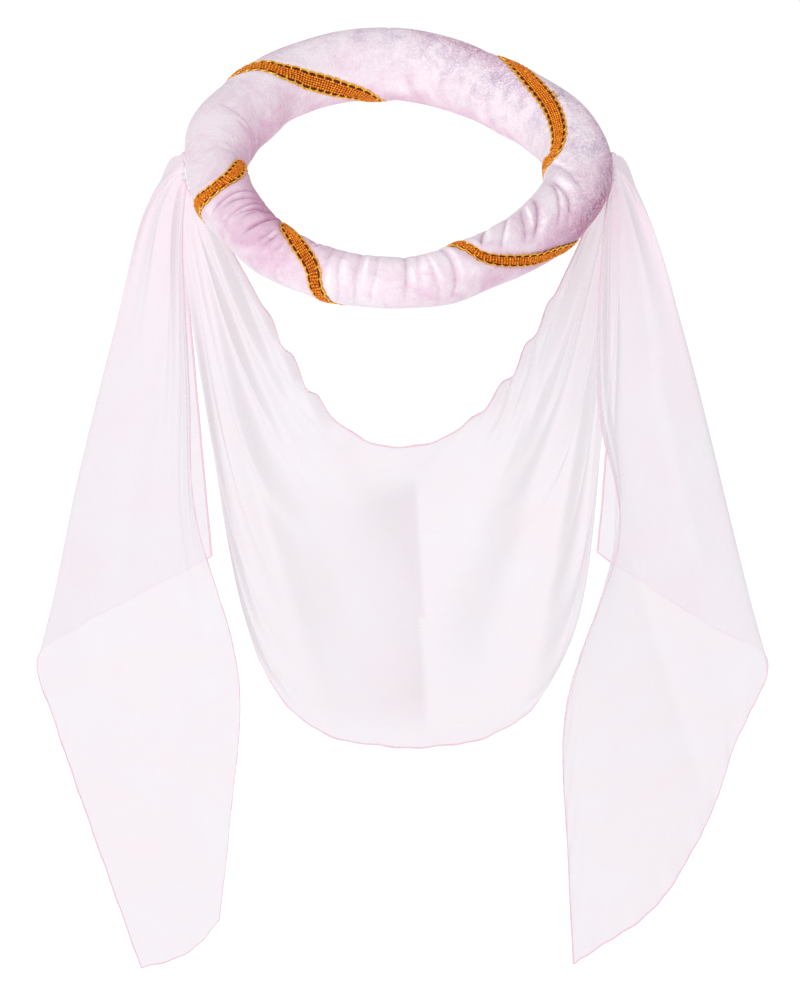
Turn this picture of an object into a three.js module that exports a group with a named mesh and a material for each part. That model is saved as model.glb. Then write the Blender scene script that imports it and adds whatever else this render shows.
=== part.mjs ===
// Headband with veil: a padded velvet ring that sits level on the head, one gold braid wound round it,
// and one sheer scarf pinched to the ring's left and right sides, which hangs as a swag and two tails.
// Millimetres, +Z up, the near side of the ring towards -Y. The origin is the centre of the ring.

import * as THREE from 'three';

// Driving dimensions of the ring: the line down the middle of the roll is an oval
const RING_HALF_WIDTH = 100.8;
const RING_HALF_DEPTH = 105.5;
// How the oval is out of round: waves round the ring, as shares of its size
const RING_WARP = [
  { waves: 2, sine: -0.021, cosine: 0 },
  { waves: 3, sine: 0.0095, cosine: 0.023 },
  { waves: 4, sine: 0, cosine: 0.02 },
];
// Short stretches where the roll is bent out or in, and fatter or thinner. reach: degrees to each side.
const RING_BENDS = [
  { degrees: 54, reach: 13, out: -1.2, fatter: -1.5 },
  { degrees: 146, reach: 9, out: -2.4, fatter: 0.8 },
  { degrees: 162, reach: 10, out: 0, fatter: 2.2 },
  { degrees: 180, reach: 8, out: 1.0, fatter: -1.2 },
  { degrees: 228, reach: 13, out: 2.8, fatter: 0 },
  { degrees: 287, reach: 9, out: 1.4, fatter: 0.6 },
];
// Radius of the roll where it is fattest, thinnest and at the two sides
const ROLL_RADIUS = { far: 21.0, near: 14.2, left: 17.9, right: 19.2 };
const ROLL_SIDES = 12;
// The near part of the roll is ruched: uneven gathers lean across the roll between these degrees
const RUCHE = { from: 188, to: 346, fade: 22, pitch: 8, depth: 0.8, stepsPerGather: 4 };
const RUCHE_UNEVEN = { lean: 3.5, drift: 3, driftPitch: 37, fainter: 0.5, fainterPitch: 27 };
const PLAIN_STEP = 6.5;

// Driving dimensions of the braid: a closed strip that winds five times round the roll
// wider: how much wider it is at the far side of the ring, and narrower at the near side
const BRAID = { width: 8.5, wider: 1.2, thickness: 1.4, gap: 0.85, steps: 192 };
// Shares of a turn: 0 on the roll's inner side, 0.25 on top, 0.5 on its outer side and 0.75 underneath
const BRAID_SHARES = [0, 0.083, 0.125, 0.156, 0.1875, 0.25, 0.375, 0.5, 0.5625, 0.7, 0.917];
// Where each turn is at those shares, in degrees round the ring
const BRAID_TURNS = [
  [-1, -3.8, -2.2, 4, 15, 36, 52.5, 57, 61, 88, 100],
  [113, 125.5, 129.5, 132.5, 134.5, 136.5, 140.5, 140.5, 142, 156, 180],
  [183, 186, 189.5, 193, 196, 199.5, 200.5, 197, 196, 199, 213],
  [224, 227.5, 229, 230.5, 232.5, 238, 247, 249.5, 250.5, 253, 277],
  [289.5, 292.3, 292.8, 292.9, 293, 293.5, 297.5, 313, 325, 338, 356],
];

// Driving dimensions of the veil
const VEIL_THICKNESS = 1.0;
// Each pinch is a half ring of pleats that stands on the outside of the roll
const PINCH = { clear: 1.2, y: -1.0, z: -1.0, radiusX: 2.5, radiusY: 10.0 };
// The swag's top hem lies over the braid's third turn, at this place round the ring
const OVER_BRAID = { degrees: 198, reach: 7, lift: 2.4 };
const PLEATS = { count: 6, atPinch: 1.2, growth: 17, fade: 2.2 };
const VEIL_STEPS = { across: 30, tail: 15, halfSwag: 12 };
// A tail's sections are at these shares of its length, where the drop goes with the square of the share
const TAIL_STATIONS = [0, 0.25, 0.5, 0.64, 0.8, 0.93, 1];
// Powers that crowd the sections towards the ends or the pinch
const TAIL_CROWDING = 0.8;
const SWAG_CROWDING = 1.25;

// The fold lines of the veil, from the hem that edges the swag's top to the hem that edges its foot.
// share: place across the cloth. leftX, rightX: x at each station of a tail after the pinch.
// leftDrop, rightDrop, tailDepth: how far down a tail's line ends, and its y there.
const TAIL_LINES = [
  {
    share: 0, tailDepth: -31,
    leftDrop: 564, leftX: [-120, -119, -118, -95, -104, -112],
    rightDrop: 604, rightX: [119, 120, 135, 106, 111, 116],
  },
  {
    share: 0.1, tailDepth: -29,
    leftDrop: 593, leftX: [-121, -121, -120, -102, -113, -131],
    rightDrop: 582, rightX: [120, 122, 135, 112, 121, 141],
  },
  {
    share: 0.2, tailDepth: -26,
    leftDrop: 611, leftX: [-122, -123, -124, -112, -130, -164],
    rightDrop: 553, rightX: [122, 125, 135, 121, 138, 169],
  },
  {
    share: 0.4, tailDepth: -15,
    leftDrop: 458, leftX: [-125, -130, -135, -142, -166, -200],
    rightDrop: 485, rightX: [128, 130, 133, 154, 181, 200],
  },
  {
    share: 0.54, tailDepth: -10,
    leftDrop: 412, leftX: [-131, -143, -153, -167, -188, -211],
    rightDrop: 427, rightX: [133, 146, 155, 176, 200, 214],
  },
  {
    share: 0.68, tailDepth: -5,
    leftDrop: 363, leftX: [-139, -157, -171, -191, -208, -220],
    rightDrop: 365, rightX: [141, 162, 177, 198, 218, 231],
  },
  {
    share: 0.84, tailDepth: 16,
    leftDrop: 354, leftX: [-134, -147, -159, -172, -184, -191],
    rightDrop: 355, rightX: [138, 155, 167, 180, 190, 194],
  },
  {
    share: 1, tailDepth: 24,
    leftDrop: 311, leftX: [-124, -122, -120, -117, -114, -112],
    rightDrop: 308, rightX: [130, 131, 131, 129, 127, 125],
  },
];
// The same fold lines across the swag: each half is a curve from the pinch to the middle, with a handle
// at its side and one level with the middle. sideY and middleY are the depths of both halves.
const SWAG_LINES = [
  {
    share: 0, middleX: 6, middleZ: -182, middleY: -26, sideY: -28,
    leftX: -62, leftZ: -71, leftBase: -61, rightX: 88, rightZ: -55, rightBase: 66,
  },
  {
    share: 0.4, middleX: 9, middleZ: -283, middleY: -24, sideY: -24,
    leftX: -94, leftZ: -215, leftBase: -66, rightX: 108, rightZ: -205, rightBase: 82,
  },
  {
    share: 0.68, middleX: 12, middleZ: -358, middleY: -20, sideY: -12,
    leftX: -104, leftZ: -320, leftBase: -88, rightX: 120, rightZ: -300, rightBase: 108,
  },
  {
    share: 0.84, middleX: 13, middleZ: -397, middleY: -16, sideY: -4,
    leftX: -100, leftZ: -400, leftBase: -95, rightX: 120, rightZ: -375, rightBase: 116,
  },
  {
    share: 1, middleX: 14, middleZ: -432, middleY: -13, sideY: 7,
    leftX: -99, leftZ: -365, leftBase: -115, rightX: 121, rightZ: -345, rightBase: 108,
  },
];

const radians = THREE.MathUtils.degToRad;
const smooth = THREE.MathUtils.smoothstep;
const FULL_TURN = 2 * Math.PI;
// The small step that finds a direction from two points
const NUDGE = 0.001;

// The ring

// How much the short bends add at an angle round the ring; name is out or fatter
function bend(angle, name) {
  let total = 0;
  for (const row of RING_BENDS) {
    const off = angle - radians(row.degrees);
    const nearest = Math.atan2(Math.sin(off), Math.cos(off));
    total += row[name] * Math.exp(-((nearest / radians(row.reach)) ** 2));
  }
  return total;
}

function rollCentre(angle) {
  let scale = 1;
  for (const { waves, sine, cosine } of RING_WARP) {
    scale += sine * Math.sin(waves * angle) + cosine * Math.cos(waves * angle);
  }
  const out = bend(angle, 'out');
  const x = (scale * RING_HALF_WIDTH + out) * Math.cos(angle);
  const y = (scale * RING_HALF_DEPTH + out) * Math.sin(angle);
  return new THREE.Vector3(x, y, 0);
}

// The level direction square to the roll, away from the ring's centre
function rollOutward(angle) {
  const along = rollCentre(angle + NUDGE).sub(rollCentre(angle - NUDGE));
  return new THREE.Vector3(along.y, -along.x, 0).normalize();
}

// The roll's radius without its gathers, from the four radii that drive it
function plainRadius(angle) {
  const { far, near, left, right } = ROLL_RADIUS;
  const mean = (far + near + left + right) / 4;
  const lean = ((far - near) / 2) * Math.sin(angle) + ((right - left) / 2) * Math.cos(angle);
  const oval = ((left + right - far - near) / 4) * Math.cos(2 * angle);
  return mean + lean + oval + bend(angle, 'fatter');
}

// 1 in the ruched stretch, 0 in the plain one
function ruched(degrees) {
  const start = smooth(degrees, RUCHE.from, RUCHE.from + RUCHE.fade);
  const end = 1 - smooth(degrees, RUCHE.to - RUCHE.fade, RUCHE.to);
  return start * end;
}

// The roll's radius over the tops of its gathers
function outerRadius(degrees) {
  const round = ((degrees % 360) + 360) % 360;
  return plainRadius(radians(round)) + RUCHE.depth * ruched(round);
}

// How far a gather stands out: each leans over the roll, and they drift and grow fainter along it
function gather(degrees, turn) {
  const { lean, drift, driftPitch, fainter, fainterPitch } = RUCHE_UNEVEN;
  const along = degrees - RUCHE.from;
  const shift = lean * Math.cos(radians(turn)) + drift * Math.sin((FULL_TURN * along) / driftPitch);
  const wave = Math.cos((FULL_TURN * (along + shift)) / RUCHE.pitch);
  const strength = 1 - fainter * Math.sin((Math.PI * along) / fainterPitch) ** 2;
  return RUCHE.depth * ruched(degrees) * strength * wave;
}

// A point at a distance from the line down the middle of the roll; turn 0 is its outer side and 90 its top
function onRoll(degrees, turn, radius) {
  const angle = radians(degrees);
  const outward = rollOutward(angle).multiplyScalar(radius * Math.cos(radians(turn)));
  const point = rollCentre(angle).add(outward);
  point.z += radius * Math.sin(radians(turn));
  return point;
}

// Degrees round the ring of the roll's sections, close together where it is ruched
function rollSections() {
  const sections = [];
  const fine = RUCHE.pitch / RUCHE.stepsPerGather;
  let degrees = RUCHE.to - 360;
  while (degrees < RUCHE.from - PLAIN_STEP / 2) {
    sections.push(degrees);
    degrees += PLAIN_STEP;
  }
  for (degrees = RUCHE.from; degrees < RUCHE.to - fine / 2; degrees += fine) {
    sections.push(degrees);
  }
  return sections;
}

// A closed tube of quads through rings of points, joined end to start
function closedTube(rings) {
  const sides = rings[0].length;
  const positions = rings.flat().flatMap((point) => point.toArray());
  const indices = [];
  for (let i = 0; i < rings.length; i++) {
    const here = i * sides;
    const next = ((i + 1) % rings.length) * sides;
    for (let j = 0; j < sides; j++) {
      const k = (j + 1) % sides;
      indices.push(here + j, next + j, next + k, here + j, next + k, here + k);
    }
  }
  return meshGeometry(positions, indices);
}

function meshGeometry(positions, indices) {
  const geometry = new THREE.BufferGeometry();
  geometry.setAttribute('position', new THREE.Float32BufferAttribute(positions, 3));
  geometry.setIndex(indices);
  geometry.computeVertexNormals();
  return geometry;
}

function paddedRing() {
  const rings = rollSections().map((degrees) => {
    const section = [];
    for (let j = 0; j < ROLL_SIDES; j++) {
      const turn = (360 * j) / ROLL_SIDES;
      section.push(onRoll(degrees, turn, plainRadius(radians(degrees)) + gather(degrees, turn)));
    }
    return section;
  });
  return closedTube(rings);
}

// The braid

// A smooth curve through values at given places
function through(places, values, place) {
  let i = 0;
  while (i < places.length - 2 && place > places[i + 1]) {
    i += 1;
  }
  const span = places[i + 1] - places[i];
  const slope = (k) => {
    const before = Math.max(k - 1, 0);
    const after = Math.min(k + 1, places.length - 1);
    return (values[after] - values[before]) / (places[after] - places[before]);
  };
  const t = (place - places[i]) / span;
  const rise = t * t * (3 - 2 * t);
  const leave = t * (1 - t) * (1 - t) * span * slope(i);
  const arrive = t * t * (t - 1) * span * slope(i + 1);
  return values[i] * (1 - rise) + values[i + 1] * rise + leave + arrive;
}

// Degrees round the ring after a number of turns of the braid, which starts at an inner crossing
function braidDegrees(turns) {
  const places = [];
  const values = [];
  for (let lap = -1; lap <= 1; lap++) {
    BRAID_TURNS.forEach((row, i) => {
      row.forEach((degrees, k) => {
        places.push(lap * BRAID_TURNS.length + i + BRAID_SHARES[k]);
        values.push(lap * 360 + degrees);
      });
    });
  }
  return through(places, values, turns);
}

// The braid comes over the roll from its inner side to its outer side
function braidTurn(turns) {
  return 180 - 360 * turns;
}

function braidHeight(degrees) {
  return outerRadius(degrees) + BRAID.gap;
}

class BraidPath extends THREE.Curve {
  getPoint(share) {
    const turns = share * BRAID_TURNS.length;
    const degrees = braidDegrees(turns);
    return onRoll(degrees, braidTurn(turns), braidHeight(degrees));
  }
}

// The degrees round the ring and round the roll from the braid's middle to its edge, square to its run
function braidSide(degrees, turn, ahead) {
  const height = braidHeight(degrees);
  const centre = onRoll(degrees, turn, height);
  const roundRing = onRoll(degrees + NUDGE, turn, height).sub(centre);
  const roundRoll = onRoll(degrees, turn + NUDGE, height).sub(centre);
  const ringStep = roundRing.length();
  const rollStep = roundRoll.length();
  const run = new THREE.Vector2(ahead.dot(roundRing) / ringStep, ahead.dot(roundRoll) / rollStep);
  const width = BRAID.width + BRAID.wider * Math.sin(radians(degrees));
  const square = new THREE.Vector2(-run.y, run.x).normalize().multiplyScalar((width / 2) * NUDGE);
  return { ring: square.x / ringStep, roll: square.y / rollStep };
}

function goldBraid() {
  const path = new BraidPath();
  path.arcLengthDivisions = 4 * BRAID.steps;
  const rings = [];
  for (let i = 0; i < BRAID.steps; i++) {
    const share = path.getUtoTmapping(i / BRAID.steps);
    const turns = share * BRAID_TURNS.length;
    const degrees = braidDegrees(turns);
    const turn = braidTurn(turns);
    const side = braidSide(degrees, turn, path.getTangent(share));
    const height = braidHeight(degrees);
    const edge = (way, rise) => onRoll(degrees + way * side.ring, turn + way * side.roll, height + rise);
    const upper = [-1, 0, 1].map((way) => edge(way, BRAID.thickness));
    const lower = [1, 0, -1].map((way) => edge(way, 0));
    rings.push([...upper, ...lower]);
  }
  return closedTube(rings);
}

// The veil

// Which way a pleat stands out from the half ring of cloth under a pinch
function pleatWay(side, share) {
  const angle = Math.PI * share;
  return new THREE.Vector3(side * Math.sin(angle), -Math.cos(angle), 0);
}

// A point of the half ring, which stands clear of the roll's outer side
function pinchPoint(side, share) {
  const angle = side < 0 ? Math.PI : 0;
  const roll = rollCentre(angle).x + side * plainRadius(angle);
  const way = pleatWay(side, share);
  return new THREE.Vector3(
    roll + side * PINCH.clear + PINCH.radiusX * way.x,
    PINCH.y + PINCH.radiusY * way.y,
    PINCH.z,
  );
}

// How far a pleat stands out at a share of the way from the pinch
function pleat(share, way) {
  const height = PLEATS.atPinch + PLEATS.growth * way;
  return height * (1 - way) ** PLEATS.fade * Math.sin(FULL_TURN * PLEATS.count * share);
}

// Cloth that would sink into the roll lies on it instead
function offRoll(point) {
  const angle = Math.atan2(point.y / RING_HALF_DEPTH, point.x / RING_HALF_WIDTH);
  const centre = rollCentre(angle);
  const away = point.clone().sub(centre);
  const degrees = (THREE.MathUtils.radToDeg(angle) + 360) % 360;
  const lift = OVER_BRAID.lift * Math.exp(-(((degrees - OVER_BRAID.degrees) / OVER_BRAID.reach) ** 2));
  const least = outerRadius(degrees) + PINCH.clear + lift;
  return away.length() < least ? centre.addScaledVector(away.normalize(), least) : point;
}

// A row's values at a share of the cloth's width, by the smooth curve through the rows
function acrossRows(rows, share, pick) {
  return through(rows.map((row) => row.share), rows.map(pick), share);
}

function tailPoint(side, share, way) {
  const name = side < 0 ? 'left' : 'right';
  const value = (pick) => acrossRows(TAIL_LINES, share, pick);
  const start = pinchPoint(side, share);
  const drop = value((row) => row[`${name}Drop`]);
  const depth = value((row) => row.tailDepth);
  const stations = TAIL_STATIONS.slice(1).map((_, k) => value((row) => row[`${name}X`][k]));
  const x = through(TAIL_STATIONS, [start.x, ...stations], way);
  const y = start.y + (depth - start.y) * way * (2 - way);
  const z = start.z - drop * way * way;
  const point = new THREE.Vector3(x, y, z);
  return offRoll(point.addScaledVector(pleatWay(side, share), pleat(share, way)));
}

function swagPoint(side, share, way) {
  const name = side < 0 ? 'left' : 'right';
  const value = (column) => acrossRows(SWAG_LINES, share, (row) => row[column]);
  const start = pinchPoint(side, share);
  const handle = new THREE.Vector3(value(`${name}X`), value('sideY'), value(`${name}Z`));
  const middle = new THREE.Vector3(value('middleX'), value('middleY'), value('middleZ'));
  const base = new THREE.Vector3(middle.x + value(`${name}Base`), middle.y, middle.z);
  const curve = new THREE.CubicBezierCurve3(start, handle, base, middle);
  return offRoll(curve.getPoint(way).addScaledVector(pleatWay(side, share), pleat(share, way)));
}

// The sections of the veil from the left tail's end to the right tail's end
function veilSections() {
  const shares = Array.from({ length: VEIL_STEPS.across + 1 }, (_, j) => j / VEIL_STEPS.across);
  const section = (point, side, way) => shares.map((share) => point(side, share, way));
  const tailWays = [];
  for (let i = 1; i <= VEIL_STEPS.tail; i++) {
    tailWays.push((i / VEIL_STEPS.tail) ** TAIL_CROWDING);
  }
  const swagWays = [];
  for (let i = 0; i < VEIL_STEPS.halfSwag; i++) {
    swagWays.push((i / VEIL_STEPS.halfSwag) ** SWAG_CROWDING);
  }
  return [
    ...tailWays.map((way) => section(tailPoint, -1, way)).reverse(),
    ...swagWays.map((way) => section(swagPoint, -1, way)),
    section(swagPoint, 1, 1),
    ...swagWays.map((way) => section(swagPoint, 1, way)).reverse(),
    ...tailWays.map((way) => section(tailPoint, 1, way)),
  ];
}

// A sheet of even thickness round a grid of points, closed at its four edges
function thickSheet(grid, thickness) {
  const rows = grid.length;
  const columns = grid[0].length;
  const index = (i, j) => i * columns + j;
  const faces = [];
  for (let i = 0; i + 1 < rows; i++) {
    for (let j = 0; j + 1 < columns; j++) {
      faces.push(index(i, j), index(i + 1, j), index(i + 1, j + 1));
      faces.push(index(i, j), index(i + 1, j + 1), index(i, j + 1));
    }
  }
  const middle = meshGeometry(grid.flat().flatMap((point) => point.toArray()), faces);
  const normals = middle.getAttribute('normal');
  const positions = [];
  for (const side of [1, -1]) {
    grid.flat().forEach((point, n) => {
      const normal = new THREE.Vector3().fromBufferAttribute(normals, n);
      positions.push(...point.clone().addScaledVector(normal, (side * thickness) / 2).toArray());
    });
  }
  const count = rows * columns;
  const indices = [...faces];
  for (let n = 0; n < faces.length; n += 3) {
    indices.push(faces[n] + count, faces[n + 2] + count, faces[n + 1] + count);
  }
  const upTo = (length) => Array.from({ length }, (_, n) => n);
  const down = upTo(rows);
  const over = upTo(columns);
  const rim = [
    ...down.map((i) => index(i, 0)),
    ...over.slice(1).map((j) => index(rows - 1, j)),
    ...down.slice(0, -1).reverse().map((i) => index(i, columns - 1)),
    ...over.slice(1, -1).reverse().map((j) => index(0, j)),
  ];
  rim.forEach((a, n) => {
    const b = rim[(n + 1) % rim.length];
    indices.push(b, a, a + count, b, a + count, b + count);
  });
  return meshGeometry(positions, indices);
}

function veil() {
  return thickSheet(veilSections(), VEIL_THICKNESS);
}

// The pieces

function piece(name, geometry, material) {
  const mesh = new THREE.Mesh(geometry, new THREE.MeshStandardMaterial(material));
  mesh.name = name;
  return mesh;
}

const headband = new THREE.Group();
headband.add(piece('padded_ring', paddedRing(), { color: 0xeed8e8, roughness: 0.7, metalness: 0 }));
headband.add(piece('gold_braid', goldBraid(), { color: 0xd98a12, roughness: 0.4, metalness: 0.5 }));
headband.add(piece('veil', veil(), {
  color: 0xf3e6f0, roughness: 0.6, metalness: 0, transparent: true, opacity: 0.55, side: THREE.DoubleSide,
}));

export default headband;
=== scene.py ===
# Headband with veil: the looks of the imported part
# Metres, +Z up, the near side of the ring towards -Y. The origin is the centre of the ring.

import math

import bpy
import numpy as np
from mathutils.kdtree import KDTree
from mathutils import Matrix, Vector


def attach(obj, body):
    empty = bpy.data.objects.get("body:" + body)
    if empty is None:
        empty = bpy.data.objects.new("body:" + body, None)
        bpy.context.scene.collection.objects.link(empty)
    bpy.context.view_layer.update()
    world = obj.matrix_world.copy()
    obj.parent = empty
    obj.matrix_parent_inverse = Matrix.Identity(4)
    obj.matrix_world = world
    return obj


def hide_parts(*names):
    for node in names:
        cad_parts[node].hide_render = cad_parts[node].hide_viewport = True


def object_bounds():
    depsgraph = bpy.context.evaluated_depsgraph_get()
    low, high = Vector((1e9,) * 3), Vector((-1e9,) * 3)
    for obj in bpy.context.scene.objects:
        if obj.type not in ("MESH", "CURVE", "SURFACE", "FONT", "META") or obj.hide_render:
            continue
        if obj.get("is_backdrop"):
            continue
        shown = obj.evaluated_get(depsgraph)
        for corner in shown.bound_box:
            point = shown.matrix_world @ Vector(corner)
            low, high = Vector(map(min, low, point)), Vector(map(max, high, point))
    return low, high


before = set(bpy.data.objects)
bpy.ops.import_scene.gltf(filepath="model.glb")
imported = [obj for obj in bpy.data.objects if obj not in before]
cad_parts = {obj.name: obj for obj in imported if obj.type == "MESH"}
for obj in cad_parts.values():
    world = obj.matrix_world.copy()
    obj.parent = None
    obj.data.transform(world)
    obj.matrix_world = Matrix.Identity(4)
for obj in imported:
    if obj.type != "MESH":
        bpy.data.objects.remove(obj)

CAD_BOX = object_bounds()
FULL_TURN = 2 * math.pi
# The small step that finds a direction from two points
NUDGE = 0.001

# The photograph's camera
IMAGE_HEIGHT = 999
CAMERA_PLACE = (0.0038, -2.1288, 1.4913)
CAMERA_PITCH = 39.16
CAMERA_FOCAL_PIXELS = 4561.4
SENSOR_MM = 36.0

# Ring: the line down the middle of the roll is an oval, out of round by waves that are shares of its size
RING_HALF_WIDTH = 0.1008
RING_HALF_DEPTH = 0.1055
RING_WARP = [
    {"waves": 2, "sine": -0.021, "cosine": 0.0},
    {"waves": 3, "sine": 0.0095, "cosine": 0.023},
    {"waves": 4, "sine": 0.0, "cosine": 0.02},
]
# Short stretches where the roll is bent out or in, and fatter or thinner. reach: degrees to each side.
RING_BENDS = [
    {"degrees": 54, "reach": 13, "out": -0.0012, "fatter": -0.0015},
    {"degrees": 146, "reach": 9, "out": -0.0024, "fatter": 0.0008},
    {"degrees": 162, "reach": 10, "out": 0.0, "fatter": 0.0022},
    {"degrees": 180, "reach": 8, "out": 0.0010, "fatter": -0.0012},
    {"degrees": 228, "reach": 13, "out": 0.0028, "fatter": 0.0},
    {"degrees": 287, "reach": 9, "out": 0.0014, "fatter": 0.0006},
]
ROLL_RADIUS = {"far": 0.0210, "near": 0.0142, "left": 0.0179, "right": 0.0192}
ROLL_STEPS = {"round_ring": 960, "round_roll": 88}
# Creases across the roll. start, end: degrees round the ring. inner, outer: degrees round the roll between
# which a crease lies. slant: degrees round the ring that it leans by from its inner end to its outer end.
# glint: how bright the painted highlight beside it is.
CREASE_GROUPS = [
    {
        "start": 158, "end": 188, "count": 4, "inner": 225, "outer": 85,
        "slant": -6, "depth": 0.0010, "glint": 0.1,
    },
    {
        "start": 203, "end": 247, "count": 11, "inner": 195, "outer": 25,
        "slant": -4, "depth": 0.0032, "glint": 0.3,
    },
    {
        "start": 248, "end": 290, "count": 8, "inner": 165, "outer": -50,
        "slant": 2, "depth": 0.0014, "glint": 0.6,
    },
    {
        "start": 298, "end": 348, "count": 7, "inner": 158, "outer": 36,
        "slant": -18, "depth": 0.0022, "glint": 1.0,
    },
    {
        "start": 12, "end": 84, "count": 6, "inner": 235, "outer": 160,
        "slant": 6, "depth": 0.0007, "glint": 0.2,
    },
]
CREASE_SEED = 5
# How much one crease differs from the next. place: share of the spacing. slide, lean, bow, wobble: degrees.
# depth: shares of the group's depth. puff: how far the puffed velvet reaches, in shares of the spacing.
CREASE_VARY = {
    "place": 0.42, "depth": (0.45, 1.15), "slide": 22, "lean": 3, "bow": 2.4,
    "wobble": 0.7, "puff": (0.4, 0.75),
}
# Shares of a crease's length where it starts to die away and is gone
CREASE_FADE = (0.40, 1.05)
# The painted highlight beside a crease, along the puffed ridge. at, width: shares of the puff. slide, full,
# end: shares of its length.
RIDGE_HIGHLIGHT = {
    "at": (0.4, 0.8), "width": (0.14, 0.39), "shine": (0.45, 1.0),
    "slide": (-0.35, 0.35), "full": 0.1, "end": 0.6,
}
# Painted shade in the creases: how deep a crease is where the shade is darkest, and how sharply it sets in
VALLEY_SHADE = {"depth": 0.0022, "sharpness": 1.5}
# Patches of painted shade, mostly on the roll's right side, inner side and underside: their middle and reach
# in degrees round the ring and round the roll
PAINTED_SHADE_PATCHES = [
    {"degrees": 4, "turn": -4, "wide": 40, "tall": 50, "depth": 1.15},
    {"degrees": 334, "turn": -15, "wide": 28, "tall": 46, "depth": 0.32},
    {"degrees": 62, "turn": 66, "wide": 20, "tall": 26, "depth": 0.65},
    {"degrees": 40, "turn": 95, "wide": 26, "tall": 30, "depth": 0.25},
    {"degrees": 222, "turn": 140, "wide": 26, "tall": 55, "depth": 0.85},
    {"degrees": 226, "turn": 40, "wide": 26, "tall": 50, "depth": 0.38},
    {"degrees": 172, "turn": 185, "wide": 34, "tall": 50, "depth": 0.50},
    {"degrees": 95, "turn": 225, "wide": 70, "tall": 35, "depth": 0.40},
    {"degrees": 118, "turn": 55, "wide": 18, "tall": 16, "depth": 0.40},
    {"degrees": 292, "turn": 20, "wide": 22, "tall": 60, "depth": 0.20},
]
# Where the pile is crushed into bright curls, in the same way. The curls are partly pattern and partly
# painted highlight, which also glows.
CRUSHED_PILE_AND_SHEEN = [
    {"degrees": 45, "turn": 80, "wide": 48, "tall": 90, "depth": 1.0},
    {"degrees": 6, "turn": 50, "wide": 30, "tall": 70, "depth": 0.45},
    {"degrees": 340, "turn": 5, "wide": 20, "tall": 40, "depth": 0.30},
    {"degrees": 270, "turn": 60, "wide": 50, "tall": 120, "depth": 0.12},
    {"degrees": 120, "turn": 60, "wide": 30, "tall": 50, "depth": 0.5},
]
# The seam of the velvet cover, across the roll
SEAM = {"degrees": 92.0, "depth": 0.0006, "width": 0.0008}
# Slight waves of the filling: how many round the ring and round the roll, and where each starts
LUMPS = [
    {"round_ring": 5, "ring_start": 0.6, "round_roll": 1, "roll_start": -0.8, "height": 0.0003},
    {"round_ring": 9, "ring_start": 2.1, "round_roll": 1, "roll_start": 1.1, "height": 0.0003},
    {"round_ring": 17, "ring_start": 1.3, "round_roll": 2, "roll_start": -1.17, "height": 0.00015},
]
# How the roll gives way under the braid. sink_from, sink_to: where the sunk bed ends, as shares of reach.
BRAID_BED = {
    "step": 0.003, "reach": 0.0050, "clear": 0.0095, "sink": 0.0004, "sink_from": 0.6, "sink_to": 1.2,
    "swell": 0.0007, "swell_at": 0.0075, "swell_width": 0.0025,
}

# Braid: a closed woven strip that winds five times round the roll
# Shares of a turn: 0 on the roll's inner side, 0.25 on top, 0.5 on its outer side and 0.75 underneath
BRAID_SHARES = [0, 0.083, 0.125, 0.156, 0.1875, 0.25, 0.375, 0.5, 0.5625, 0.7, 0.917]
# Where each turn is at those shares, in degrees round the ring
BRAID_TURNS = [
    [-1, -3.8, -2.2, 4, 15, 36, 52.5, 57, 61, 88, 100],
    [113, 125.5, 129.5, 132.5, 134.5, 136.5, 140.5, 140.5, 142, 156, 180],
    [183, 186, 189.5, 193, 196, 199.5, 200.5, 197, 196, 199, 213],
    [224, 227.5, 229, 230.5, 232.5, 238, 247, 249.5, 250.5, 253, 277],
    [289.5, 292.3, 292.8, 292.9, 293, 293.5, 297.5, 313, 325, 338, 356],
]
# The braid is wider at the far side of the ring and drawn narrower at the near side, by this share
BRAID_WIDER = 0.14
# Where the braid is drawn tight, as a number of turns and their reach, and how much narrower it is there
BRAID_TIGHT = [
    {"turns": 2.075, "reach": 0.06, "narrower": 0.50},
    {"turns": 4.35, "reach": 0.28, "narrower": 0.28},
]
# Even steps along the braid, and points that its length is first measured with
BRAID_STEP = 0.0005
BRAID_MEASURED_POINTS = 6001
# follow: how much of the loops' reach the ground's edges follow, in this many steps for each loop
BRAID_GROUND = {"half_width": 0.0038, "thickness": 0.0005, "sink": 0.0002, "follow": 0.7, "steps": 6}
# The cords woven along the braid, and the beads that the weave makes of them
BRAID_CORDS = {"count": 5, "spacing": 0.00114, "radius": 0.00046, "height": 0.0007, "sides": 6}
BRAID_BEAD = {"pitch": 0.0018, "steps": 4, "swell": 0.58, "lift": 0.00024}
# The looped thread along each edge of the braid
BRAID_LOOPS = {"pitch": 0.0054, "steps": 16, "base": 0.0027, "reach": 0.0020, "swing": 0.0014, "sides": 6}
# One loop that has been pulled out. turns: where it is along the braid. edge: the side it is on.
PULLED_LOOP = {"turns": 0.215, "edge": -1, "reach": 0.0014}
BRAID_LOOP_THREAD = {"radius": 0.00060, "height": 0.0006, "sway": 0.0003}

# Veil: its thickness doesn't show, so it is one surface
# Each pinch is half an oval. inset: how far its two ends are tucked in before they are laid on the roll.
# sag: how much lower its middle is. rise: how much higher its back end is.
PINCH = {
    "clear": 0.0006, "inset": 0.002, "y": -0.001, "sag": 0.005, "rise": 0.004,
    "radius_x": 0.0024, "radius_y": 0.010,
}
# The swag's top hem lies over the braid's third turn, at this place round the ring
OVER_BRAID = {"degrees": 198, "reach": 7, "lift": 0.0024}
# fade: the power by which pleats die away from the pinch
PLEATS = {"count": 6, "at_pinch": 0.0008, "growth": 0.020, "fade": 3.0}
FINE_PLEATS = {"count": 17, "height": 0.0006, "fade": 7}
VEIL_STEPS = {"across": 160, "tail": 140, "half_swag": 100}
# Shares of the way down a tail where its lines are given
TAIL_STATIONS = [0.0, 0.25, 0.5, 0.64, 0.8, 0.93, 1.0]
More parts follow.
